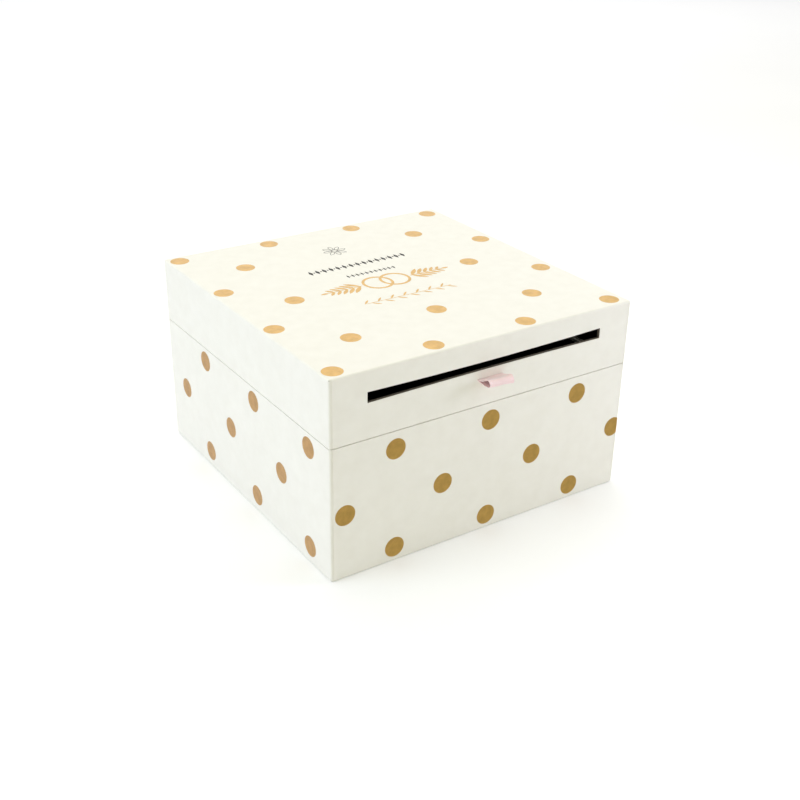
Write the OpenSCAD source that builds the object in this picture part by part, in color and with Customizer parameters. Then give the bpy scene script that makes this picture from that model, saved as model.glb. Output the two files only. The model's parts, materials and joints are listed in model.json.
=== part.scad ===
// Wedding card box: a paper-covered board box with a hinged lid, a posting slot in the front of the
// lid and a satin ribbon tab to lift it by. Millimetres. X runs along the front, Y runs from the
// front to the back, Z is up. The origin is the centre of the underside.

/* [Box] */
// Outside width of the square box
side = 300; // [260:5:360]
// Height of the closed box
box_h = 180; // [165:5:220]
// Height of the lid from its rim to its top
lid_h = 58.5; // [56:0.5:70]
// Outside radius of every folded edge
edge_r = 2; // [1.5:0.25:3]
// Gap between the lid's rim and the base's rim when the lid is closed
seam_gap = 0.6; // [0.2:0.05:0.8]

/* [Board and paper] */
// Thickness of the greyboard
board_t = 2.8; // [1.8:0.1:3]
// Thickness of the outer paper and of each turn-in
paper_t = 0.25; // [0.2:0.05:0.3]
// Thickness of the inner paper where it covers a turn-in
lining_t = 0.4; // [0.35:0.05:0.5]
// Thickness of the paper tapes inside the corners
tape_t = 0.15; // [0.1:0.05:0.2]
// Length of each leg of a corner tape
tape_leg = 20; // [12:1:25]
// How far the outer paper is turned in over a rim and under the bottom
turn_in = 15; // [12:1:18]
// How far the linings stop short of the rims
lining_drop = 3; // [2:0.5:5]
// Thickness of the floor pad and of the lid's top pad
pad_t = 1.2; // [0.8:0.1:2]
// Clearance between a pad and the lining round it
pad_gap = 0.5; // [0.3:0.1:1]
// How far the underside sheet stops short of the box's sides
sheet_inset = 4; // [3:1:8]

/* [Posting slot] */
// Width of the posting slot
slot_w = 233; // [200:1:240]
// Height of the posting slot at its ends
slot_h = 9.4; // [7:0.1:12]
// Distance from the top of the lid to the middle of the slot's ends
slot_drop = 22.7; // [20:0.1:25]
// How far the slot's upper edge sags in the middle
slot_sag = 1.6; // [0.2:0.1:2]
// How far the slot's lower edge rises in the middle
slot_swell = 0.8; // [0.2:0.1:2]

/* [Ribbon tab] */
// Width of the tab's ribbon
tab_w = 25; // [20:1:30]
// How far the tab stands out of the lid
tab_reach = 16.5; // [12:0.5:20]
// How far the tab's end rises above the slit
tab_rise = 1.1; // [0:0.1:2]
// Radius of the fold at the tab's end
tab_fold_r = 2.6; // [2:0.1:3]
// Thickness of the two layers of ribbon in the slit
tab_t = 0.7; // [0.5:0.1:0.8]
// Length of the tails glued inside the lid
tab_tail = 16; // [12:1:18]
// Distance from the top of the lid to the middle of the slit
slit_drop = 34.5; // [33:0.5:36]
// Clearance all round the ribbon in the slit
slit_gap = 0.2; // [0.15:0.05:0.5]
// Margin of the paper patch round the tails
patch_margin = 6; // [4:1:8]

/* [Lid stays] */
// Width of a lid stay's ribbon
stay_w = 10; // [6:1:12]
// Thickness of a lid stay's ribbon
stay_t = 0.25; // [0.2:0.05:0.3]
// Distance from the hinge line to a stay's ends
stay_from_hinge = 72; // [60:2:100]
// Height of a stay's ends above and below the seam
stay_rise = 21; // [19:1:24]
// Length of a stay's end glued behind the lining
stay_tail = 12; // [10:1:14]
// Clearance between a closed stay and the lining
stay_gap = 0.3; // [0.2:0.05:0.5]

/* [Hinge strips] */
// Width of the outside strip
strip_outer_w = 30; // [20:2:40]
// Width of the inside strip
strip_inner_w = 26; // [20:2:34]
// Thickness of both strips
strip_t = 0.2; // [0.15:0.05:0.25]

/* [Foil and print] */
// Diameter of a foil dot on the base
dot_d = 18.4; // [14:0.1:19]
// Diameter of a foil dot on the lid
lid_dot_d = 17.2; // [14:0.1:18]
// Thickness of the foil and the print
foil_t = 0.06; // [0.04:0.01:0.1]
// Distance from the lid's edges to the middle of its outer dots
dot_margin = 12.4; // [12:0.1:14]
// How far the lid's outer dots stand to the right of the middle
lid_dots_x = -2; // [-2:0.5:2]
// Height of the lowest row of dots on the base
dot_low = 13.7; // [12:0.1:15]
// Spacing of the three rows of dots on the base
dot_rise = 45.9; // [40:0.1:46]
// How much higher the rows are on the base's left side
left_lift = 2.8; // [0:0.1:3]
// Spacing of the dots along the base's rows
dot_step = 93.3; // [90:0.1:96]
// Where the pattern starts on the base's sides, from the back left corner
dot_start = 80; // [70:1:90]
// How far the lid's ornament and inner dots stand to the right of the middle
ornament_x = -4; // [-6:1:6]

/* [Hidden] */
$fn = 96;

pearl = "#f7f4e8";
plain = "#f3f0e6";
grey_card = "#a8967c";
tape_brown = "#c9b18a";
lining_black = "#26242a";
gold = "#d8b06a";
ink = "#1e1c1a";
pink = "#f4c3c8";

half = side / 2;
seam_z = box_h - lid_h;
base_rim_z = seam_z - seam_gap / 2;
lid_rim_z = seam_z + seam_gap / 2;
// Half widths of the board's outside, its inside, the turn-in's inside and the lining's inside
board_out = half - paper_t;
board_in = board_out - board_t;
turn_inside = board_in - paper_t;
lined = turn_inside - lining_t;
pad_half = lined - pad_gap;
// Levels of the base: underside sheet, turned paper, board, pad
board_low_z = 2 * paper_t;
base_floor_z = board_low_z + board_t;
board_rim_z = base_rim_z - paper_t;
// Levels of the lid
lid_board_top_z = box_h - paper_t;
lid_ceiling_z = lid_board_top_z - board_t;
lid_board_rim_z = lid_rim_z + paper_t;
slot_z = box_h - slot_drop;
slit_z = box_h - slit_drop;
dot_r = dot_d / 2;
lid_dot_r = lid_dot_d / 2;
lid_dot_step = (side - 2 * dot_margin) / 3;
cut = 5;

// A rectangle with round corners, centred
module round_rect(width, depth, r) {
  square([width - 2 * r, depth], center = true);
  square([width, depth - 2 * r], center = true);
  for (x = [-1, 1], y = [-1, 1])
    translate([x * (width / 2 - r), y * (depth / 2 - r)]) circle(r);
}

// A square block from z0 to z1 whose upright edges are round, and whose flat edges are round at
// round_low and round_high, which may lie past the block's ends
module soft_block(width, z0, z1, round_low, round_high, r) {
  tall = round_high - round_low;
  middle = (round_low + round_high) / 2;
  intersection() {
    translate([0, 0, z0]) linear_extrude(z1 - z0) round_rect(width, width, r);
    translate([0, 0, middle]) rotate([90, 0, 0])
      linear_extrude(width + 2, center = true) round_rect(width, tall, r);
    translate([0, 0, middle]) rotate([90, 0, 90])
      linear_extrude(width + 2, center = true) round_rect(width, tall, r);
  }
}

// A square block with sharp edges, from its half width and its two levels
module block(half_width, z0, z1) {
  translate([-half_width, -half_width, z0]) cube([2 * half_width, 2 * half_width, z1 - z0]);
}

// An upright square tube between two half widths
module ring(outer, inner, z0, z1) {
  difference() {
    block(outer, z0, z1);
    block(inner, z0 - 1, z1 + 1);
  }
}

// A box from its lowest and highest corners
module span_box(low, high) {
  translate(low) cube(high - low);
}

// The posting slot through the lid's front: its long edges bow towards each other
module slot_cut(extra = 0) {
  w = slot_w / 2 + extra;
  h = slot_h / 2 + extra;
  steps = 12;
  along = [for (i = [0:steps]) 2 * i / steps - 1];
  upper = [for (u = along) [w * u, h - slot_sag * (1 - u * u)]];
  lower = [for (u = along) [-w * u, -h + slot_swell * (1 - u * u)]];
  translate([0, -lined + cut, slot_z]) rotate([90, 0, 0])
    linear_extrude(half - lined + 2 * cut) polygon(concat(upper, lower));
}

// The slit through the lid's front that the ribbon tab comes out of
module slit_cut() {
  w = tab_w / 2 + slit_gap;
  h = tab_t / 2 + slit_gap;
  span_box([-w, -half - cut, slit_z - h], [w, -lined + cut, slit_z + h]);
}

// Four L-shaped tapes inside the corners of a tray
module corner_tapes(z0, z1) {
  for (turn = [0:3]) rotate(90 * turn)
    translate([board_in, board_in, z0]) {
      span_box([-tape_leg, -tape_t, 0], [0, 0, z1 - z0]);
      span_box([-tape_t, -tape_leg, 0], [0, -tape_t, z1 - z0]);
    }
}

module base_tapes_shape() {
  corner_tapes(base_floor_z, base_rim_z - turn_in);
}

module lid_tapes_shape() {
  corner_tapes(lid_rim_z + turn_in, lid_ceiling_z);
}

// One end of a lid stay: it passes through the lining at level z and is glued behind it
module stay_end(z, way) {
  y = half - stay_from_hinge;
  tail_z = z + way * stay_tail;
  bridge_z = z + way * stay_t;
  translate([0, y - stay_w / 2, min(z, bridge_z)])
    cube([board_in - lined + stay_gap + stay_t, stay_w, stay_t]);
  translate([board_in - lined + stay_gap, y - stay_w / 2, min(z, tail_z)])
    cube([stay_t, stay_w, stay_tail]);
}

// Everything of one stay, drawn for the right-hand side from its closed face outwards
module stay_ends() {
  translate([lined - stay_gap - stay_t, 0, 0]) {
    stay_end(seam_z - stay_rise, -1);
    stay_end(seam_z + stay_rise, 1);
  }
}

module stay_shape() {
  y_end = half - stay_from_hinge;
  y_fold = half - stay_from_hinge / 2;
  w = stay_w / 2;
  stay_ends();
  translate([lined - stay_gap - stay_t, 0, seam_z]) rotate([90, 0, 90])
    linear_extrude(stay_t)
      polygon([
        [y_end - w, -stay_rise], [y_end + w, -stay_rise], [y_fold + w, 0],
        [y_end + w, stay_rise], [y_end - w, stay_rise], [y_fold - w, 0]
      ]);
}

// The parts of both stays that lie in the linings
module stay_pockets() {
  stay_ends();
  mirror([1, 0, 0]) stay_ends();
}

module base_board() {
  color(grey_card) difference() {
    soft_block(2 * board_out, board_low_z, board_rim_z, board_low_z, box_h, edge_r - paper_t);
    block(board_in, base_floor_z, box_h);
  }
}

module base_corner_tapes() {
  color(tape_brown) base_tapes_shape();
}

module base_wrap() {
  color(pearl) {
    difference() {
      soft_block(side, paper_t, base_rim_z, paper_t, box_h, edge_r);
      soft_block(2 * board_out, board_low_z, board_rim_z, board_low_z, box_h, edge_r - paper_t);
      block(board_in, board_rim_z - 1, box_h);
      block(half - turn_in, 0, board_low_z + 1);
    }
    ring(board_in, turn_inside, base_rim_z - turn_in, base_rim_z);
  }
}

module base_bottom_sheet() {
  color(plain) {
    block(half - sheet_inset, 0, paper_t);
    block(half - turn_in, paper_t, board_low_z);
  }
}

module base_wall_lining() {
  color(lining_black) difference() {
    ring(board_in, lined, base_floor_z, base_rim_z - lining_drop);
    ring(board_in + 1, turn_inside, base_rim_z - turn_in, base_rim_z);
    base_tapes_shape();
    stay_pockets();
  }
}

module base_floor_pad() {
  color(lining_black) block(pad_half, base_floor_z, base_floor_z + pad_t);
}

module lid_board() {
  color(grey_card) difference() {
    soft_block(2 * board_out, lid_board_rim_z, lid_board_top_z, 0, lid_board_top_z,
      edge_r - paper_t);
    block(board_in, 0, lid_ceiling_z);
    slot_cut();
    slit_cut();
  }
}

module lid_corner_tapes() {
  color(tape_brown) lid_tapes_shape();
}

module lid_wrap() {
  color(pearl) difference() {
    union() {
      difference() {
        soft_block(side, lid_rim_z, box_h, 0, box_h, edge_r);
        soft_block(2 * board_out, lid_board_rim_z, lid_board_top_z, 0, lid_board_top_z,
          edge_r - paper_t);
        block(board_in, 0, lid_board_rim_z + 1);
      }
      ring(board_in, turn_inside, lid_rim_z, lid_rim_z + turn_in);
    }
    slot_cut();
    slit_cut();
  }
}

module lid_wall_lining() {
  color(lining_black) difference() {
    ring(board_in, lined, lid_rim_z + lining_drop, lid_ceiling_z);
    ring(board_in + 1, turn_inside, 0, lid_rim_z + turn_in);
    lid_tapes_shape();
    stay_pockets();
    slot_cut(1);
    slit_cut();
  }
}

module lid_top_pad() {
  color(lining_black) block(pad_half, lid_ceiling_z - pad_t, lid_ceiling_z);
}

// The tails of the tab, flat against the inside of the lid's front
module tab_tails() {
  span_box(
    [-tab_w / 2, -lined, slit_z - tab_tail],
    [tab_w / 2, -lined + tab_t, slit_z + tab_t / 2]
  );
}

module ribbon_tab() {
  fold_y = -half - tab_reach + tab_fold_r;
  fold_z = slit_z + tab_rise;
  color(pink) {
    tab_tails();
    span_box([-tab_w / 2, -half, slit_z - tab_t / 2], [tab_w / 2, -lined, slit_z + tab_t / 2]);
    rotate([90, 0, 90]) linear_extrude(tab_w, center = true) {
      polygon([
        [-half, slit_z - tab_t / 2], [-half, slit_z + tab_t / 2],
        [fold_y, fold_z + tab_fold_r], [fold_y, fold_z - tab_fold_r]
      ]);
      translate([fold_y, fold_z]) circle(tab_fold_r);
    }
  }
}

module ribbon_tab_patch() {
  w = tab_w / 2 + patch_margin;
  color(lining_black) difference() {
    span_box(
      [-w, -lined, slit_z - tab_tail - patch_margin],
      [w, -lined + tab_t + paper_t, slit_z + tab_t / 2 + 1]
    );
    tab_tails();
  }
}

module hinge_strip_outer() {
  reach = half - edge_r - 1;
  color(pearl) span_box(
    [-reach, half, seam_z - strip_outer_w / 2],
    [reach, half + strip_t, seam_z + strip_outer_w / 2]
  );
}

module hinge_strip_inner() {
  color(lining_black) span_box(
    [-pad_half, lined - strip_t, seam_z - strip_inner_w / 2],
    [pad_half, lined, seam_z + strip_inner_w / 2]
  );
}

module lid_stay_right() {
  color(pink) stay_shape();
}

module lid_stay_left() {
  color(pink) mirror([1, 0, 0]) stay_shape();
}

// One dot on a side of the base: the sides are numbered from the left one on, and the place runs
// round the box from the back left corner. On the back, the hinge strip covers the top of a dot.
module side_dot(face, place, z) {
  flat = half - edge_r;
  top = face == 3 ? seam_z - strip_outer_w / 2 : box_h;
  rotate(-90 + 90 * face) translate([0, -half, 0]) intersection() {
    translate([place - (face + 0.5) * side, 0, z]) rotate([90, 0, 0]) cylinder(h = foil_t, r = dot_r);
    span_box([-flat, -1, 0], [flat, 1, top]);
  }
}

// A row of dots all the way round the base, leaving out slivers too thin to print
module dot_ring(z, start) {
  for (k = [-1:13], face = [0:3])
    if (start + k * dot_step > face * side - dot_r + edge_r + 1
      && start + k * dot_step < (face + 1) * side + dot_r - edge_r - 1)
      side_dot(face, start + k * dot_step, face == 0 ? z + left_lift : z);
}

module base_foil_dots() {
  color(gold) {
    dot_ring(dot_low, dot_start);
    dot_ring(dot_low + dot_rise, dot_start + dot_step / 2);
    dot_ring(dot_low + 2 * dot_rise, dot_start);
  }
}

// A flat shape in foil or ink on the lid's top
module top_foil(x = 0) {
  translate([x, 0, box_h]) linear_extrude(foil_t) children();
}

// The lid's dots: twelve round the edge, six between them, and one below the ornament
module lid_foil_dots() {
  low = -half + dot_margin;
  color(gold) top_foil() {
    for (i = [0:3], j = [0:3])
      if (i == 0 || i == 3 || j == 0 || j == 3)
        translate([low + lid_dots_x + i * lid_dot_step, low + j * lid_dot_step]) circle(lid_dot_r);
    for (i = [-1, 1], j = [0:2])
      translate([ornament_x + i * lid_dot_step, low + (j + 0.5) * lid_dot_step]) circle(lid_dot_r);
    translate([ornament_x, low + 0.64 * lid_dot_step]) circle(lid_dot_r);
  }
}

// A pointed leaf along X, from two arcs
module leaf(length, width) {
  r = (length * length + width * width) / (4 * width);
  intersection() {
    translate([length / 2, r - width / 2]) circle(r);
    translate([length / 2, width / 2 - r]) circle(r);
  }
}

// A sprig of paired leaves that shrink along a straight stem
module sprig(pairs, step) {
  translate([-1.5, -0.5]) square([pairs * step + 1.5, 1]);
  for (i = [0:pairs - 1], way = [-1, 1])
    translate([i * step, 0]) rotate(way * 46) leaf(16 - i * 1.8, 4.2 - i * 0.3);
  translate([pairs * step - 1, 0]) leaf(8, 3);
}

// A thin stem along X with leaves above and below it by turns
module vine(leaves, step) {
  square([leaves * step - 4, 0.6], center = true);
  for (i = [0:leaves - 1])
    translate([(i - leaves / 2) * step, 0]) rotate(i % 2 == 0 ? 44 : -44) leaf(9.5, 2);
}

// A blossom of outlined petals round a ring
module blossom(petals, reach, line) {
  start = reach * 0.22;
  for (k = [0:petals - 1])
    rotate(k * 360 / petals) translate([start, 0]) difference() {
      leaf(reach - start, reach * 0.36);
      translate([line, 0]) leaf(reach - start - 2 * line, reach * 0.36 - 1.6 * line);
    }
  difference() {
    circle(start + line / 2);
    circle(start - line / 2);
  }
}

// A row of upright lozenges, some to each side of a middle one, with dots between them
module lozenge_row(each_side, step, width, height, r) {
  for (i = [-each_side:each_side])
    translate([i * step, 0])
      polygon([[width / 2, 0], [0, height / 2], [-width / 2, 0], [0, -height / 2]]);
  for (i = [-each_side:each_side - 1])
    translate([(i + 0.5) * step, 0]) circle(r);
}

// Two linked rings between two sprigs, over a vine
module lid_gold_ornament() {
  ring_r = 14.5;
  ring_line = 2.6;
  color(gold) top_foil(ornament_x) {
    for (way = [-1, 1]) {
      translate([way * ring_r * 0.62, -1.5]) difference() {
        circle(ring_r);
        circle(ring_r - ring_line);
      }
      translate([way * 27, -1.5]) mirror([way < 0 ? 1 : 0, 0]) sprig(5, 6.6);
    }
    translate([0, -39]) vine(14, 6.5);
  }
}

// A blossom over two rows of lozenges
module lid_black_ornament() {
  color(ink) top_foil(ornament_x) {
    translate([0, 89]) blossom(8, 12, 0.6);
    translate([0, 47.5]) lozenge_row(7, 7, 3.6, 10, 0.9);
    translate([0, 24]) lozenge_row(5, 4.8, 2.2, 7, 0.6);
  }
}

base_board();
base_corner_tapes();
base_wrap();
base_foil_dots();
base_bottom_sheet();
base_wall_lining();
base_floor_pad();
lid_board();
lid_corner_tapes();
lid_wrap();
lid_foil_dots();
lid_gold_ornament();
lid_black_ornament();
lid_wall_lining();
lid_top_pad();
ribbon_tab();
ribbon_tab_patch();
hinge_strip_outer();
hinge_strip_inner();
lid_stay_left();
lid_stay_right();
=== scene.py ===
"""A wedding card box: paper-covered board, gold foil dots, a posting slot and a satin pull tab."""
import json
import math
import bmesh
import bpy
from mathutils import Matrix, Vector


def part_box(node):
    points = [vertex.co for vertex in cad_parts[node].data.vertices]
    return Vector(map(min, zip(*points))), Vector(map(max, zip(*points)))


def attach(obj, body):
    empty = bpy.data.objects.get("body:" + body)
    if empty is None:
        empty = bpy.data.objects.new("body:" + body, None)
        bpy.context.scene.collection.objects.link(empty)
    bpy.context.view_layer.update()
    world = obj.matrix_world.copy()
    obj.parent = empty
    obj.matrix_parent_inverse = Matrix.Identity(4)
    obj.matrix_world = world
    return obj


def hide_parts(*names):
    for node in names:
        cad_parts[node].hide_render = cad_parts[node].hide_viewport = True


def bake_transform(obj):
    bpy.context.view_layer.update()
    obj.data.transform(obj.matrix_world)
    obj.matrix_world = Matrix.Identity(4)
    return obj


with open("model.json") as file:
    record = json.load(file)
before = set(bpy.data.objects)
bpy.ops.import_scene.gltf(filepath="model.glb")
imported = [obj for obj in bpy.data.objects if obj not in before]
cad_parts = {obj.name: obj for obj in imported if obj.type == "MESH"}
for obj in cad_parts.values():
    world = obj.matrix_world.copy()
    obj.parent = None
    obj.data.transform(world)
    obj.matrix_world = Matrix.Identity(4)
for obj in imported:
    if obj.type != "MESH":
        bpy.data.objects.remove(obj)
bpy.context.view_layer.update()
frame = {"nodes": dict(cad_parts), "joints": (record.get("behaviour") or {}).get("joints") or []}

MM = 0.001

# ---------------------------------------------------------------- sizes, from the frame
base_low, base_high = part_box("base_wrap")
lid_low, lid_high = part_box("lid_wrap")
board_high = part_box("base_board")[1]
HALF = base_high.x
BASE_RIM, LID_RIM, TOP = base_high.z, lid_low.z, lid_high.z
SEAM = (BASE_RIM + LID_RIM) / 2
PAPER = HALF - board_high.x
BOARD = board_high.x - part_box("base_wall_lining")[1].x
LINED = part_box("hinge_strip_inner")[1].y    # the inner face of the lining
HINGE = Vector((0, HALF, SEAM))
LID_OPEN = math.radians(next(j for j in frame["joints"] if j["name"] == "lid_hinge")["range_deg"][1])

# ---------------------------------------------------------------- sizes of the design
EDGE_R = 2.0 * MM          # every folded outside edge
RIM_R = 0.3 * MM           # the paper's fold over a rim
TURN_IN = 15 * MM
WALL = 2 * PAPER + BOARD   # outer paper, board and turned-in paper
PAD_R = 0.5 * MM
OVERLAP = 0.12 * MM        # how far the front and back flaps stand out where they lie on the sides
# The section across a flap's cut edge and across the crease beside a corner:
# (distance in from the corner's fold, height), the height in units of OVERLAP
FLAP_EDGE = ((0.0, 0.0), (0.1 * MM, -1.5), (0.5 * MM, -1.5), (0.6 * MM, 1.0))
SIDE_CREASE = ((0.0, 0.0), (1.1 * MM, 0.0), (1.25 * MM, -1.0), (1.5 * MM, -1.0), (1.65 * MM, 0.0))
SHARP = 0.08 * MM          # radius left on an inside corner
SLOT_W, SLOT_H, SLOT_Z = 233 * MM, 9.4 * MM, TOP - 22.7 * MM
SLOT_SAG, SLOT_SWELL = 1.6 * MM, 0.8 * MM   # how its edges bow towards each other
TAB_W, SLIT_Z = 25 * MM, TOP - 34.5 * MM
SLIT_H, SLIT_GAP = 1.1 * MM, 0.2 * MM
RIBBON = 0.3 * MM
STAY, STAY_W = 0.25 * MM, 10 * MM
STAY_FROM_HINGE, STAY_RISE = 72 * MM, 21 * MM
STAY_FOLD = 1.5 * MM       # how far a stay's folds spread inwards with the lid shut
DOT_R, LID_DOT_R, FOIL = 9.2 * MM, 8.6 * MM, 0.06 * MM
DOT_MARGIN = 12.4 * MM     # from the lid's edges to its outer dots
LID_DOT_STEP = (2 * HALF - 2 * DOT_MARGIN) / 3
DOT_LOW, DOT_RISE, DOT_STEP = 13.7 * MM, 45.9 * MM, 93.3 * MM
LEFT_LIFT = 2.8 * MM       # how much higher the rows are on the base's left side
DOT_START = 80 * MM        # where the rows start on the base, from the back left corner
OUTER_X, INNER_X = -2 * MM, -4 * MM   # how far the lid's dots stand to the right of the middle


# ---------------------------------------------------------------- mesh helpers
def new_object(name, mesh):
    piece = bpy.data.objects.new(name, mesh)
    bpy.context.scene.collection.objects.link(piece)
    return piece


def finish_mesh(bm, name, sharp=40):
    """Turns a bmesh into an object with outward normals, smooth folds and flat panels."""
    bmesh.ops.remove_doubles(bm, verts=bm.verts, dist=1e-7)
    bmesh.ops.recalc_face_normals(bm, faces=bm.faces)
    mesh = bpy.data.meshes.new(name)
    bm.to_mesh(mesh)
    bm.free()
    piece = new_object(name, mesh)
    smooth_folds(piece, sharp)
    return piece


def smooth_folds(piece, sharp=40):
    piece.data.shade_smooth()
    piece.data.set_sharp_from_angle(angle=math.radians(sharp))
    weighted = piece.modifiers.new("weighted normals", "WEIGHTED_NORMAL")
    weighted.keep_sharp = True


def square_loop(half, radius, z, lift=0.0, steps=6):
    """The points of a round-cornered square at height z, from the front left corner on, anticlockwise
    from above. On the front and the back, which are lapped over the sides, the middle stands out
    by lift behind a groove at the flap's cut edge. The sides have a fine crease near each corner."""
    points = []
    radius = max(radius, SHARP)
    straight = half - radius
    for side in range(4):
        turn = Matrix.Rotation(math.radians(90 * side), 3, "Z")
        ends = [(straight - d, up) for d, up in (SIDE_CREASE if side % 2 else FLAP_EDGE)]
        along = [(-u, up) for u, up in ends] + [(u, up) for u, up in reversed(ends)]
        for u, up in along:
            points.append(turn @ Vector((u, -half - lift * up, z)))
        for step in range(1, steps):
            angle = math.radians(90 * step / steps - 90)
            points.append(turn @ Vector((
                straight + radius * math.cos(angle), -straight + radius * math.sin(angle), z)))
    return points


def skin(loops, name, ring=False, caps=False):
    """A surface through loops of points: closed on itself as a ring, or with flat caps at both ends."""
    bm = bmesh.new()
    rows = [[bm.verts.new(p) for p in loop] for loop in loops]
    pairs = list(zip(rows, rows[1:]))
    if ring:
        pairs.append((rows[-1], rows[0]))
    count = len(rows[0])
    for low, high in pairs:
        for i in range(count):
            j = (i + 1) % count
            bm.faces.new((low[i], low[j], high[j], high[i]))
    if caps:
        bm.faces.new(rows[0])
        bm.faces.new(rows[-1])
    return finish_mesh(bm, name)


def arc(centre_in, centre_z, radius, start, end, steps=5):
    """Insets and heights along an arc in the wall's section. 0 degrees points out, 90 up."""
    for step in range(steps + 1):
        a = math.radians(start + (end - start) * step / steps)
        yield centre_in - radius * math.cos(a), centre_z + radius * math.sin(a)


def paper_loops(section):
    """Loops from a section of (inset from the box's side, height, lift)."""
    return [square_loop(HALF - inset, EDGE_R - inset, z, lift) for inset, z, lift in section]


def cut_front(piece, outline, y_low, y_high, name):
    """Cuts an outline of (x, z) through the front of a piece, and applies the cut."""
    bm = bmesh.new()
    near, far = ([bm.verts.new((x, y, z)) for x, z in outline] for y in (y_low, y_high))
    bm.faces.new(near)
    bm.faces.new(far[::-1])
    for a, b, c, d in zip(near, near[1:] + near[:1], far[1:] + far[:1], far):
        bm.faces.new((b, a, d, c))
    bmesh.ops.recalc_face_normals(bm, faces=bm.faces)
    mesh = bpy.data.meshes.new(name)
    bm.to_mesh(mesh)
    bm.free()
    cutter = new_object(name, mesh)
    cut = piece.modifiers.new(name, "BOOLEAN")
    cut.operation, cut.solver, cut.object = "DIFFERENCE", "EXACT", cutter
    with bpy.context.temp_override(object=piece, active_object=piece):
        bpy.ops.object.modifier_move_to_index(modifier=name, index=0)
        bpy.ops.object.modifier_apply(modifier=name)
    bpy.data.objects.remove(cutter)


def slot_outline(steps=12):
    along = [2 * k / steps - 1 for k in range(steps + 1)]
    upper = [(SLOT_W / 2 * u, SLOT_Z + SLOT_H / 2 - SLOT_SAG * (1 - u * u)) for u in along]
    lower = [(-SLOT_W / 2 * u, SLOT_Z - SLOT_H / 2 + SLOT_SWELL * (1 - u * u)) for u in along]
    return upper + lower


# ---------------------------------------------------------------- materials
def shader(name, roughness, **constants):
    """A new material with a Principled shader, its output and object coordinates."""
    mat = bpy.data.materials.new(name)
    mat.use_nodes = True
    nodes, links = mat.node_tree.nodes, mat.node_tree.links
    bsdf = nodes["Principled BSDF"]
    bsdf.inputs["Roughness"].default_value = roughness
    for socket, value in constants.items():
        bsdf.inputs[socket.replace("_", " ")].default_value = value
    return mat, nodes, links, bsdf


def noise(nodes, links, coords, scale, detail=4.0, stretch=None):
    """A noise texture in the object's metres, stretched along an axis if asked."""
    texture = nodes.new("ShaderNodeTexNoise")
    texture.inputs["Scale"].default_value = scale
    texture.inputs["Detail"].default_value = detail
    if stretch:
        mapping = nodes.new("ShaderNodeMapping")
        mapping.inputs["Scale"].default_value = stretch
        links.new(coords, mapping.inputs["Vector"])
        coords = mapping.outputs["Vector"]
    links.new(coords, texture.inputs["Vector"])
    return texture.outputs["Fac"]


def ramp(nodes, links, value, stops):
    """A colour ramp: stops are (place, colour)."""
    node = nodes.new("ShaderNodeValToRGB")
    node.color_ramp.elements[0].position, node.color_ramp.elements[0].color = stops[0][0], (*stops[0][1], 1)
    node.color_ramp.elements[1].position, node.color_ramp.elements[1].color = stops[-1][0], (*stops[-1][1], 1)
    for place, colour in stops[1:-1]:
        node.color_ramp.elements.new(place).color = (*colour, 1)
    links.new(value, node.inputs["Fac"])
    return node.outputs["Color"]


def spread(nodes, links, value, low, high):
    """Maps 0..1 noise to low..high."""
    node = nodes.new("ShaderNodeMapRange")
    node.inputs["From Min"].default_value, node.inputs["From Max"].default_value = 0.3, 0.7
    node.inputs["To Min"].default_value, node.inputs["To Max"].default_value = low, high
    links.new(value, node.inputs["Value"])
    return node.outputs["Result"]


def bump(nodes, links, height, distance, strength=1.0, below=None):
    node = nodes.new("ShaderNodeBump")
    node.inputs["Distance"].default_value = distance
    node.inputs["Strength"].default_value = strength
    links.new(height, node.inputs["Height"])
    if below:
        links.new(below, node.inputs["Normal"])
    return node.outputs["Normal"]


def coordinates(nodes):
    return nodes.new("ShaderNodeTexCoord").outputs["Object"]


def paper_material(name, light, dark, roughness, fibre=0.02 * MM, wave=0.25 * MM, **constants):
    """Coated or plain paper glued over board: faint fibres, a soft mottle and slow waves."""
    mat, nodes, links, bsdf = shader(name, roughness, **constants)
    at = coordinates(nodes)
    mottle = noise(nodes, links, at, 90, 6)
    links.new(ramp(nodes, links, mottle, [(0.3, dark), (0.7, light)]), bsdf.inputs["Base Color"])
    links.new(
        spread(nodes, links, noise(nodes, links, at, 260, 5), roughness - 0.06, roughness + 0.08),
        bsdf.inputs["Roughness"],
    )
    slow = bump(nodes, links, noise(nodes, links, at, 14, 2), wave)
    fine = bump(nodes, links, noise(nodes, links, at, 2600, 5), fibre, below=slow)
    links.new(fine, bsdf.inputs["Normal"])
    return mat


def board_material():
    """Raw greyboard: short fibres pressed in layers, with specks of recycled pulp."""
    mat, nodes, links, bsdf = shader("greyboard", 0.9)
    at = coordinates(nodes)
    fibres = noise(nodes, links, at, 1400, 6, (1, 1, 2.2))
    # These greys are the board's own dull grey, darkened further as painted shade where its cut edges show in
    # the slot.
    greys_darkened_as_shade = [(0.3, (0.10, 0.082, 0.062)), (0.55, (0.19, 0.16, 0.12)), (0.75, (0.29, 0.25, 0.19))]
    colour = ramp(nodes, links, fibres, greys_darkened_as_shade)
    links.new(colour, bsdf.inputs["Base Color"])
    links.new(bump(nodes, links, fibres, 0.12 * MM), bsdf.inputs["Normal"])
    return mat


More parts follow.
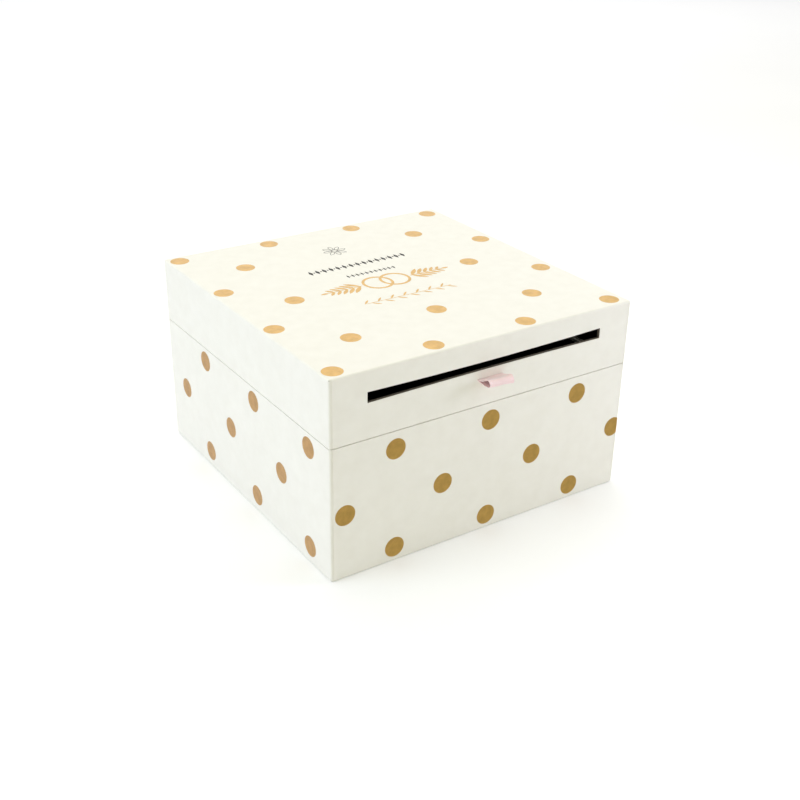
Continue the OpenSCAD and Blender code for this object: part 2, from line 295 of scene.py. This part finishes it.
def foil_material():
    """Hot-stamped gold foil: a satin metal with a faint cloud of tone, a fine grain and slow waves."""
    mat, nodes, links, bsdf = shader(
        "gold foil", 0.38, Metallic=0.92, Coat_Weight=0.35, Coat_Roughness=0.35)
    at = coordinates(nodes)
    cloud = noise(nodes, links, at, 160, 5)
    golds = [(0.3, (0.70, 0.425, 0.125)), (0.7, (0.85, 0.53, 0.165))]
    links.new(ramp(nodes, links, cloud, golds), bsdf.inputs["Base Color"])
    links.new(spread(nodes, links, noise(nodes, links, at, 420, 4), 0.32, 0.46), bsdf.inputs["Roughness"])
    grain = bump(nodes, links, noise(nodes, links, at, 3200, 4), 0.012 * MM)
    waves = bump(nodes, links, noise(nodes, links, at, 14, 2), 0.2 * MM, below=grain)
    links.new(waves, bsdf.inputs["Normal"])
    return mat


def ink_material():
    """Matt black print that lets a little of the paper's grain through."""
    mat, nodes, links, bsdf = shader("black print", 0.62)
    at = coordinates(nodes)
    grain = noise(nodes, links, at, 1500, 5)
    blacks = [(0.35, (0.012, 0.011, 0.010)), (0.75, (0.05, 0.047, 0.044))]
    links.new(ramp(nodes, links, grain, blacks), bsdf.inputs["Base Color"])
    links.new(bump(nodes, links, grain, 0.02 * MM), bsdf.inputs["Normal"])
    return mat


def satin_material(name, across, light=(0.99, 0.79, 0.78), dark=(0.95, 0.67, 0.67)):
    """Satin ribbon: long glossy floats over a fine weft. across is the axis of the ribbon's width."""
    mat, nodes, links, bsdf = shader(
        name, 0.34, Sheen_Weight=0.35, Sheen_Roughness=0.35, Anisotropic=0.5,
        Subsurface_Weight=0.5, Subsurface_Radius=(1.0, 0.8, 0.8), Subsurface_Scale=0.5 * MM)
    at = coordinates(nodes)
    stretch = [9.0, 9.0, 9.0]
    stretch[across] = 1.0
    threads = noise(nodes, links, at, 420, 3, stretch)
    links.new(ramp(nodes, links, threads, [(0.3, dark), (0.7, light)]), bsdf.inputs["Base Color"])
    links.new(spread(nodes, links, threads, 0.28, 0.42), bsdf.inputs["Roughness"])
    links.new(bump(nodes, links, threads, 0.03 * MM), bsdf.inputs["Normal"])
    return mat


# ---------------------------------------------------------------- paper covers
def rim_section(rim, way):
    """The cover's fold over a rim, from the outside in: way is 1 for a rim on top and -1 for one below."""
    section = [(i, rim + way * z, OVERLAP) for i, z in arc(RIM_R, -RIM_R, RIM_R, 0, 90)]
    section += [(i, rim + way * z, 0) for i, z in arc(WALL - RIM_R, -RIM_R, RIM_R, 90, 180)]
    section += [(WALL, rim - way * TURN_IN, 0), (WALL - PAPER, rim - way * TURN_IN, 0)]
    section += [(WALL - PAPER, rim - way * PAPER, 0), (PAPER, rim - way * PAPER, 0)]
    return section


def base_cover():
    low = base_low.z + EDGE_R
    section = [(TURN_IN, base_low.z, 0)]
    section += [(i, z, OVERLAP) for i, z in arc(EDGE_R, low, EDGE_R, -90, 0)]
    section += rim_section(BASE_RIM, 1)
    section += [(i, z, 0) for i, z in arc(EDGE_R, low, EDGE_R - PAPER, 0, -90)]
    section += [(TURN_IN, base_low.z + PAPER, 0)]
    return skin(paper_loops(section), "base_cover", ring=True)


def lid_cover():
    high = TOP - EDGE_R
    section = [(i, z, OVERLAP) for i, z in arc(EDGE_R, high, EDGE_R, 90, 0)]
    section += rim_section(LID_RIM, -1)
    section += [(i, z, 0) for i, z in arc(EDGE_R, high, EDGE_R - PAPER, 0, 90)]
    cover = skin(paper_loops(section), "lid_cover", caps=True)
    reach = HALF + 5 * MM
    w, low, high = TAB_W / 2 + SLIT_GAP, SLIT_Z - SLIT_H / 2, SLIT_Z + SLIT_H / 2
    cut_front(cover, slot_outline(), -reach, -LINED, "slot")
    cut_front(cover, [(-w, low), (w, low), (w, high), (-w, high)], -reach, -LINED, "slit")
    return cover


# ---------------------------------------------------------------- foil dots
def disc(u, v, radius=DOT_R, steps=72):
    return [(u + radius * math.cos(math.tau * k / steps), v + radius * math.sin(math.tau * k / steps))
            for k in range(steps)]


def foil(outlines, place, breaks, name):
    """Foil shapes drawn flat as outlines, then laid on the box by place(u, v, height). breaks are
    the u where the surface turns, so that the foil turns with it."""
    bm = bmesh.new()
    for outline in outlines:
        rows = []
        for height, shrink in ((-0.03 * MM, 0), (FOIL * 0.6, 0), (FOIL, 0.05 * MM)):
            cu = sum(u for u, v in outline) / len(outline)
            cv = sum(v for u, v in outline) / len(outline)
            rows.append([
                bm.verts.new((u - shrink * (u - cu) / DOT_R, v - shrink * (v - cv) / DOT_R, height))
                for u, v in outline])
        bm.faces.new(rows[0][::-1])
        bm.faces.new(rows[-1])
        for low, high in zip(rows, rows[1:]):
            for i in range(len(outline)):
                j = (i + 1) % len(outline)
                bm.faces.new((low[i], low[j], high[j], high[i]))
    for u in breaks:
        bmesh.ops.bisect_plane(
            bm, geom=bm.verts[:] + bm.edges[:] + bm.faces[:], plane_co=(u, 0, 0), plane_no=(1, 0, 0))
    for v in bm.verts:
        v.co = place(*v.co)
    return finish_mesh(bm, name)


def bent(u, straight, radius):
    """Where a point at u along the paper lies across a panel with round edges: (place, depth)."""
    over = abs(u) - straight
    if over <= 0:
        return u, 0.0
    angle = min(over / EDGE_R, math.pi / 2)
    return math.copysign(straight + radius * math.sin(angle), u), radius * (1 - math.cos(angle))


def relief(u, straight, lapped):
    """How far the paper stands out at u across a panel, by its edge's section."""
    inwards = straight - abs(u)
    section = FLAP_EDGE if lapped else SIDE_CREASE
    for (d, up), (d_next, up_next) in zip(section, section[1:]):
        if d < inwards < d_next:
            return OVERLAP * (up + (up_next - up) * (inwards - d) / (d_next - d))
    return OVERLAP * section[-1][1] if inwards > 0 else 0.0


def on_side(s, z, height):
    """A point on the base's outside: s runs round it from the back left corner, over the front."""
    side = 2 * HALF
    face = min(3, max(0, int(s // side)))
    straight = HALF - EDGE_R
    across = s - (face + 0.5) * side
    lift = height + relief(across, straight, face % 2 == 1)
    x, depth = bent(across, straight, EDGE_R + lift)
    turn = Matrix.Rotation(math.radians(90 * (face - 1)), 3, "Z")
    return turn @ Vector((x, -HALF - lift + depth, z + (LEFT_LIFT if face == 0 else 0)))


def on_top(x, y, height):
    return Vector((x, y, TOP + height))


def base_dots():
    side = 2 * HALF
    outlines = []
    for row in range(3):
        start = DOT_START - (DOT_STEP / 2 if row == 1 else 0)
        for k in range(14):
            s = start + k * DOT_STEP
            if s < 4 * side + DOT_R / 2:
                outlines.append([(min(u, 4 * side - MM), v) for u, v in disc(s, DOT_LOW + row * DOT_RISE)])
    folds = [d * MM for d in (0, 0.5, 1, 1.5)]
    folds += [EDGE_R + d for d, up in FLAP_EDGE + SIDE_CREASE[1:]]
    turns = [f * side + way * d for f in range(5) for way in (-1, 1) for d in folds]
    return foil(outlines, on_side, sorted(set(turns)), "base_dots")


def lid_dots():
    low, step = -HALF + DOT_MARGIN, LID_DOT_STEP
    outer = [(i, j) for i in range(4) for j in range(4) if i in (0, 3) or j in (0, 3)]
    places = [(low + OUTER_X + i * step, low + j * step) for i, j in outer]
    places += [(INNER_X + i * step, low + (j + 0.5) * step) for i in (-1, 1) for j in range(3)]
    places.append((INNER_X, low + 0.64 * step))
    return foil([disc(x, y, LID_DOT_R) for x, y in places], on_top, [], "lid_dots")


# ---------------------------------------------------------------- pads, strips and ribbons
def pad(name, node, way):
    """A card pad wrapped in the lining paper, with soft edges on the side that shows."""
    low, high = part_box(node)
    inset = HALF - high.x
    shown, hidden = (high.z, low.z) if way > 0 else (low.z, high.z)
    section = [(inset, hidden, 0)]
    section += [(i, shown + way * z, 0) for i, z in arc(inset + PAD_R, -PAD_R, PAD_R, 0, 90)]
    piece = skin(paper_loops(section), name, caps=True)
    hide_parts(node)
    return piece


def solid_sheet(grid, thickness, name):
    """A thin closed solid on both sides of a grid of points."""
    rows, cols = len(grid), len(grid[0])
    bm = bmesh.new()
    layers = ([], [])
    for i in range(rows):
        for layer in layers:
            layer.append([])
        for j in range(cols):
            along = grid[min(i + 1, rows - 1)][j] - grid[max(i - 1, 0)][j]
            across = grid[i][min(j + 1, cols - 1)] - grid[i][max(j - 1, 0)]
            out = along.cross(across).normalized() * thickness / 2
            for layer, way in zip(layers, (1, -1)):
                layer[-1].append(bm.verts.new(grid[i][j] + way * out))
    for layer in layers:
        for i in range(rows - 1):
            for j in range(cols - 1):
                bm.faces.new((layer[i][j], layer[i + 1][j], layer[i + 1][j + 1], layer[i][j + 1]))
    front, back = layers
    edge = [(i, 0) for i in range(rows)] + [(rows - 1, j) for j in range(1, cols)]
    edge += [(i, cols - 1) for i in range(rows - 2, -1, -1)] + [(0, j) for j in range(cols - 2, 0, -1)]
    for (i, j), (k, m) in zip(edge, edge[1:] + edge[:1]):
        bm.faces.new((front[i][j], front[k][m], back[k][m], back[i][j]))
    return finish_mesh(bm, name, sharp=60)


def spline(points, per_span):
    """A smooth curve through points, Catmull-Rom."""
    ends = [points[0] * 2 - points[1], *points, points[-1] * 2 - points[-2]]
    curve = []
    for a, b, c, d in zip(ends, ends[1:], ends[2:], ends[3:]):
        for k in range(per_span):
            t = k / per_span
            curve.append(0.5 * (2 * b + (c - a) * t + (2 * a - 5 * b + 4 * c - d) * t * t
                                + (3 * b - 3 * c + d - a) * t ** 3))
    curve.append(points[-1])
    return curve


def hinge_strip(name, node, y, way, near):
    """A paper strip across the hinge, creased where it folds. near is half the height that bends."""
    low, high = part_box(node)
    thick = high.y - low.y
    levels = [low.z, low.z + 3 * MM]
    levels += [SEAM + near * k / 6 for k in range(-6, 7)]
    levels += [high.z - 3 * MM, high.z]
    columns = 25
    grid = []
    for z in levels:
        crease = 0.14 * MM * max(0.0, 1 - abs(z - SEAM) / (0.8 * MM))
        grid.append([
            Vector((low.x + (high.x - low.x) * k / (columns - 1), y + way * (thick / 2 - crease), z))
            for k in range(columns)])
    piece = solid_sheet(grid, thick, name)
    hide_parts(node)
    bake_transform(piece)
    return piece


def ribbon_tab():
    """The satin loop: two tails glued inside the lid, and a soft fold that stands out of the slit.
    Stations are (out, up) in mm from the middle of the slit's outer face, at the ribbon's left
    edge, its middle and its right edge."""
    inner = -(HALF - LINED) / MM
    stations = [
        ((inner - 0.18, -16), (inner - 0.18, -16), (inner - 0.18, -16)),
        ((inner - 0.18, -8), (inner - 0.18, -8), (inner - 0.18, -8)),
        ((inner - 0.18, -1.4), (inner - 0.18, -1.4), (inner - 0.18, -1.4)),
        ((inner + 0.35, -0.22), (inner + 0.35, -0.22), (inner + 0.35, -0.22)),
        ((-1.2, -0.2), (-1.2, -0.2), (-1.2, -0.2)),
        ((0.3, -0.2), (0.3, -0.2), (0.3, -0.2)),
        ((4.2, -0.8), (4.2, -1.1), (4.2, -1.4)),
        ((9.0, -1.1), (9.0, -1.7), (9.0, -2.5)),
        ((13.6, -0.8), (13.2, -1.8), (13.0, -3.1)),
        ((16.0, 0.2), (15.4, -1.0), (15.2, -2.5)),
        ((16.5, 2.0), (15.9, 0.7), (15.8, -0.6)),
        ((15.6, 3.9), (15.2, 2.5), (15.0, 1.7)),
        ((13.2, 4.9), (13.0, 3.7), (12.6, 3.6)),
        ((10.4, 3.7), (10.4, 2.8), (9.8, 3.3)),
        ((6.6, 1.5), (6.6, 1.1), (6.2, 1.7)),
        ((2.8, 0.5), (2.8, 0.45), (2.8, 0.6)),
        ((0.3, 0.2), (0.3, 0.2), (0.3, 0.2)),
        ((-1.2, 0.2), (-1.2, 0.2), (-1.2, 0.2)),
        ((inner + 0.2, 0.18), (inner + 0.2, 0.18), (inner + 0.2, 0.18)),
        ((inner - 0.53, -1.0), (inner - 0.53, -1.0), (inner - 0.53, -1.0)),
        ((inner - 0.53, -8), (inner - 0.53, -8), (inner - 0.53, -8)),
        ((inner - 0.53, -16), (inner - 0.53, -16), (inner - 0.53, -16)),
    ]
    columns = 17
    sides = []
    for j in range(columns):
        u = 2 * j / (columns - 1) - 1
        points = []
        for left, middle, right in stations:
            end = left if u < 0 else right
            share = u * u
            out, up = (middle[k] + (end[k] - middle[k]) * share for k in (0, 1))
            points.append(Vector((u * TAB_W / 2, -HALF - out * MM, SLIT_Z + up * MM)))
        sides.append(spline(points, 7))
    grid = [list(row) for row in zip(*sides)]
    piece = solid_sheet(grid, RIBBON, "ribbon_loop")
    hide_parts("ribbon_tab")
    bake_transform(piece)
    return piece


def thin_sheet(grid, thickness, name):
    """A grid of points as a thin sheet. Its thickness is a modifier, which keeps it one layer through its
    folds.
    """
    bm = bmesh.new()
    rows = [[bm.verts.new(p) for p in row] for row in grid]
    for low, high in zip(rows, rows[1:]):
        for j in range(len(low) - 1):
            bm.faces.new((low[j], high[j], high[j + 1], low[j + 1]))
    mesh = bpy.data.meshes.new(name)
    bm.to_mesh(mesh)
    bm.free()
    piece = new_object(name, mesh)
    piece.data.shade_smooth()
    thick = piece.modifiers.new("thickness", "SOLIDIFY")
    thick.thickness, thick.offset = thickness, 0
    return piece


def ends_of(level, side, x_out, x_in):
    """Places of a stay's end, from behind the lining, through its slit and out: (x, height)."""
    spots = [(x_out, 12), (x_out, 8), (x_out, 4), (x_out, 0.45), (x_out - 0.12 * MM, 0.2)]
    spots += [((x_out + x_in) / 2, 0.12), (x_in + 0.3 * MM, 0.08)]
    return [(x, level + side * d * MM) for x, d in spots]


def lid_stay(node, way):
    """A satin stay, straight and taut with the lid wide open. With the lid shut it lies folded in
    three between the walls: its folds are on lines through the hinge, so that it neither stretches
    nor shrinks as it unfolds. Which share of the turn a point takes is set by how far in it lies."""
    low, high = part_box(node)
    near = min(abs(low.x), abs(high.x)) + STAY / 2
    behind = max(abs(low.x), abs(high.x)) - STAY / 2
    loose = near - STAY_FOLD
    reach = math.hypot(STAY_FROM_HINGE, STAY_RISE)
    end_angle = math.atan2(STAY_RISE, STAY_FROM_HINGE)
    middle = LID_OPEN / 2
    offset = reach * math.cos(end_angle + middle)     # from the hinge to the taut ribbon's line
    half_length = reach * math.sin(end_angle + middle)
    half_fold = offset * math.tan(middle / 2)
    foot = Vector((-math.cos(middle), math.sin(middle))) * offset
    along = Vector((math.sin(middle), math.cos(middle)))
    slits = (Vector((-1, 0)), Vector((-math.cos(LID_OPEN), math.sin(LID_OPEN))))
    widths = [STAY_W * (j / 6 - 0.5) for j in range(7)]

    def laid(point):
        """A point of the taut ribbon, from the hinge, where it lies with the lid shut."""
        angle = math.atan2(point.y, -point.x)
        share = min(1.0, max(0.0, (angle - middle / 2) / middle))
        angle -= share * LID_OPEN
        inwards = 0.5 - math.sin(math.asin(1 - 2 * share) / 3)
        return Vector((way * (loose + STAY_FOLD * inwards),
                       HINGE.y - point.length * math.cos(angle),
                       HINGE.z + point.length * math.sin(angle)))

    spots = [-half_length + (half_length - half_fold) * k / 26 for k in range(26)]
    spots += [-half_fold + 2 * half_fold * k / 16 for k in range(17)]
    spots += [-s for s in reversed(spots[:26])]
    grid = []
    for s in spots:
        centre = foot + along * s
        ease = min(1.0, (half_length - abs(s)) / (12 * MM))
        ease = ease * ease * (3 - 2 * ease)
        slanted = centre.normalized() * (centre.length / offset)
        across = slits[s > 0] * (1 - ease) + slanted * ease
        grid.append([laid(centre + across * u) for u in widths])
    y_end = HINGE.y - STAY_FROM_HINGE
    for x, z in reversed(ends_of(SEAM + STAY_RISE, 1, behind, near)):
        grid.append([Vector((way * x, y_end - u, z)) for u in widths])
    tail = [[Vector((way * x, y_end - u, z)) for u in widths]
            for x, z in ends_of(SEAM - STAY_RISE, -1, behind, loose)] + [grid[0]]
    side = "right" if way > 0 else "left"
    piece = thin_sheet(grid, STAY, "satin_stay_" + side)
    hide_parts(node)
    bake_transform(piece)
    base_end = thin_sheet(tail, STAY, "satin_stay_end_" + side)
    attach(base_end, "base")
    return piece, base_end


# ---------------------------------------------------------------- the box
PEARL_LIGHT, PEARL_DARK = (0.900, 0.880, 0.790), (0.870, 0.848, 0.755)
pearl = paper_material("pearl paper", PEARL_LIGHT, PEARL_DARK, 0.42, Specular_IOR_Level=0.45)
plain = paper_material("plain paper", (0.84, 0.82, 0.76), (0.78, 0.76, 0.69), 0.8, fibre=0.05 * MM)
# Painted shade: the lining is near black so that the inside of the shut box, seen through the slot, shows as
# dark as shade.
lining = paper_material("lining paper", (0.020, 0.019, 0.021), (0.013, 0.012, 0.014), 0.72, fibre=0.05 * MM)
strip_paper = paper_material(
    "hinge paper", (0.885, 0.865, 0.775), (0.85, 0.828, 0.735), 0.5, fibre=0.08 * MM)
kraft = paper_material("corner tape", (0.52, 0.40, 0.26), (0.42, 0.31, 0.19), 0.75, fibre=0.05 * MM)
greyboard, gold, ink = board_material(), foil_material(), ink_material()
satin = satin_material("pink satin", 0)
stay_satin = satin_material("stay satin", 1)

# The wall linings and the tab's patch take the near-black lining: painted shade for the box's inside.
FINISHES = {
    "base_board": greyboard, "lid_board": greyboard, "base_corner_tapes": kraft, "lid_corner_tapes": kraft,
    "base_bottom_sheet": plain, "base_wall_lining": lining, "lid_wall_lining": lining,
    "ribbon_tab_patch": lining, "lid_gold_ornament": gold, "lid_black_ornament": ink,
}


def dress(piece, mat):
    piece.data.materials.clear()
    piece.data.materials.append(mat)


def add(piece, mat, slot, body=None, *nodes):
    dress(piece, mat)
    if nodes:
        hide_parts(*nodes)
    if body:
        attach(piece, body)


for node, mat in FINISHES.items():
    dress(frame["nodes"][node], mat)
add(base_cover(), pearl, "pearl_paper", "base", "base_wrap")
add(lid_cover(), pearl, "pearl_paper", "lid", "lid_wrap")
add(base_dots(), gold, "gold_foil", "base", "base_foil_dots")
add(lid_dots(), gold, "gold_foil", "lid", "lid_foil_dots")
# The pads and the inner hinge strip take the same near-black lining: painted shade.
add(pad("floor_pad", "base_floor_pad", 1), lining, "lining_paper", "base")
add(pad("top_pad", "lid_top_pad", -1), lining, "lining_paper", "lid")
strip_y = HALF + OVERLAP
add(hinge_strip("outer_hinge", "hinge_strip_outer", strip_y, 1, 1.5 * MM), strip_paper, None)
add(hinge_strip("inner_hinge", "hinge_strip_inner", LINED, -1, 3 * MM), lining, None)
add(ribbon_tab(), satin, None)
for node, way in (("lid_stay_left", -1), ("lid_stay_right", 1)):
    for part in lid_stay(node, way):
        dress(part, stay_satin)


# ---------------------------------------------------------------- floor, light and camera
def floor_material():
    """A pale floor with a weak glow of its own, which keeps it white out to the picture's edges."""
    mat, nodes, links, bsdf = shader(
        "floor", 0.75, Emission_Color=(0.966, 1, 0.902, 1), Emission_Strength=0.083)
    cloud = noise(nodes, links, coordinates(nodes), 3, 3)
    whites = [(0.3, (0.93, 0.93, 0.925)), (0.7, (0.95, 0.95, 0.945))]
    links.new(ramp(nodes, links, cloud, whites), bsdf.inputs["Base Color"])
    return mat


def make_floor(reach=30.0):
    bm = bmesh.new()
    corners = [(-1, -1), (1, -1), (1, 1), (-1, 1)]
    bm.faces.new([bm.verts.new((x * reach, y * reach, 0)) for x, y in corners])
    mesh = bpy.data.meshes.new("floor")
    bm.to_mesh(mesh)
    bm.free()
    floor = new_object("floor", mesh)
    dress(floor, floor_material())
    floor.visible_glossy = False    # so that the foil and the paper do not mirror its glow


def soft_light(name, place, target, width, height, power, colour, glossy=True):
    """A soft panel of light aimed at target. Without glossy it lights but makes no highlights."""
    data = bpy.data.lights.new(name, "AREA")
    data.shape = "RECTANGLE"
    data.size, data.size_y = width, height
    data.energy, data.color = power, colour
    light = bpy.data.objects.new(name, data)
    bpy.context.scene.collection.objects.link(light)
    light.location = place
    light.rotation_euler = (Vector(target) - Vector(place)).to_track_quat("-Z", "Y").to_euler()
    light.visible_camera = False
    light.visible_glossy = glossy


def make_world(warm_side, cool_side, towards):
    """A pale studio, cooler and brighter towards one side."""
    world = bpy.data.worlds.new("studio")
    bpy.context.scene.world = world
    world.use_nodes = True
    nodes, links = world.node_tree.nodes, world.node_tree.links
    side = nodes.new("ShaderNodeVectorMath")
    side.operation = "DOT_PRODUCT"
    side.inputs[1].default_value = Vector(towards).normalized()
    links.new(nodes.new("ShaderNodeTexCoord").outputs["Generated"], side.inputs[0])
    share = nodes.new("ShaderNodeMapRange")
    share.inputs["From Min"].default_value, share.inputs["From Max"].default_value = -1, 1
    links.new(side.outputs["Value"], share.inputs["Value"])
    colour = ramp(nodes, links, share.outputs["Result"], [(0.2, warm_side), (0.95, cool_side)])
    links.new(colour, nodes["Background"].inputs["Color"])


def make_camera(place, azimuth, elevation, roll, lens):
    """A camera by its place, its direction in degrees and its lens in mm, without shift."""
    data = bpy.data.cameras.new("camera")
    data.lens, data.sensor_width = lens, 36
    data.clip_start, data.clip_end = 0.01, 100
    camera = bpy.data.objects.new("camera", data)
    bpy.context.scene.collection.objects.link(camera)
    a, e, r = (math.radians(v) for v in (azimuth, elevation, roll))
    back = Vector((math.sin(a) * math.cos(e), -math.cos(a) * math.cos(e), math.sin(e)))
    level = Vector((math.cos(a), math.sin(a), 0))
    upright = back.cross(level)
    right = math.cos(r) * level + math.sin(r) * upright
    up = math.cos(r) * upright - math.sin(r) * level
    camera.matrix_world = Matrix((
        (right.x, up.x, back.x, place[0]), (right.y, up.y, back.y, place[1]),
        (right.z, up.z, back.z, place[2]), (0, 0, 0, 1)))
    bpy.context.scene.camera = camera


make_floor()
make_world((0.454, 0.454, 0.34), (0.686, 0.67, 0.809), (-0.56, 0.83, 0))
soft_light("top", (0.0, 0.35, 2.6), (0, 0.1, 0.15), 2.4, 2.4, 25.8, (1.0, 0.956, 0.752))
soft_light("left", (-2.2, 0.4, 1.2), (0, 0, 0.12), 1.6, 1.6, 21.1, (0.756, 0.9, 1.0))
soft_light("right", (0.95, -0.62, 0.42), (0.15, -0.15, 0.12), 0.5, 0.5, 5.8, (0.725, 0.746, 1.0))
soft_light("back", (1.4, 2.3, 1.5), (0, 0, 0.18), 3.8, 2.6, 13.9, (0.922, 1.0, 0.97))
soft_light("far floor", (1.9, 2.7, 2.0), (1.9, 2.71, 0), 3.6, 2.4, 16, (0.851, 0.795, 1.0), glossy=False)
make_camera((-0.5330, -0.8153, 0.5530), -33.84, 26.85, 0.97, 52.56)
bpy.context.scene.view_settings.view_transform = "Standard"
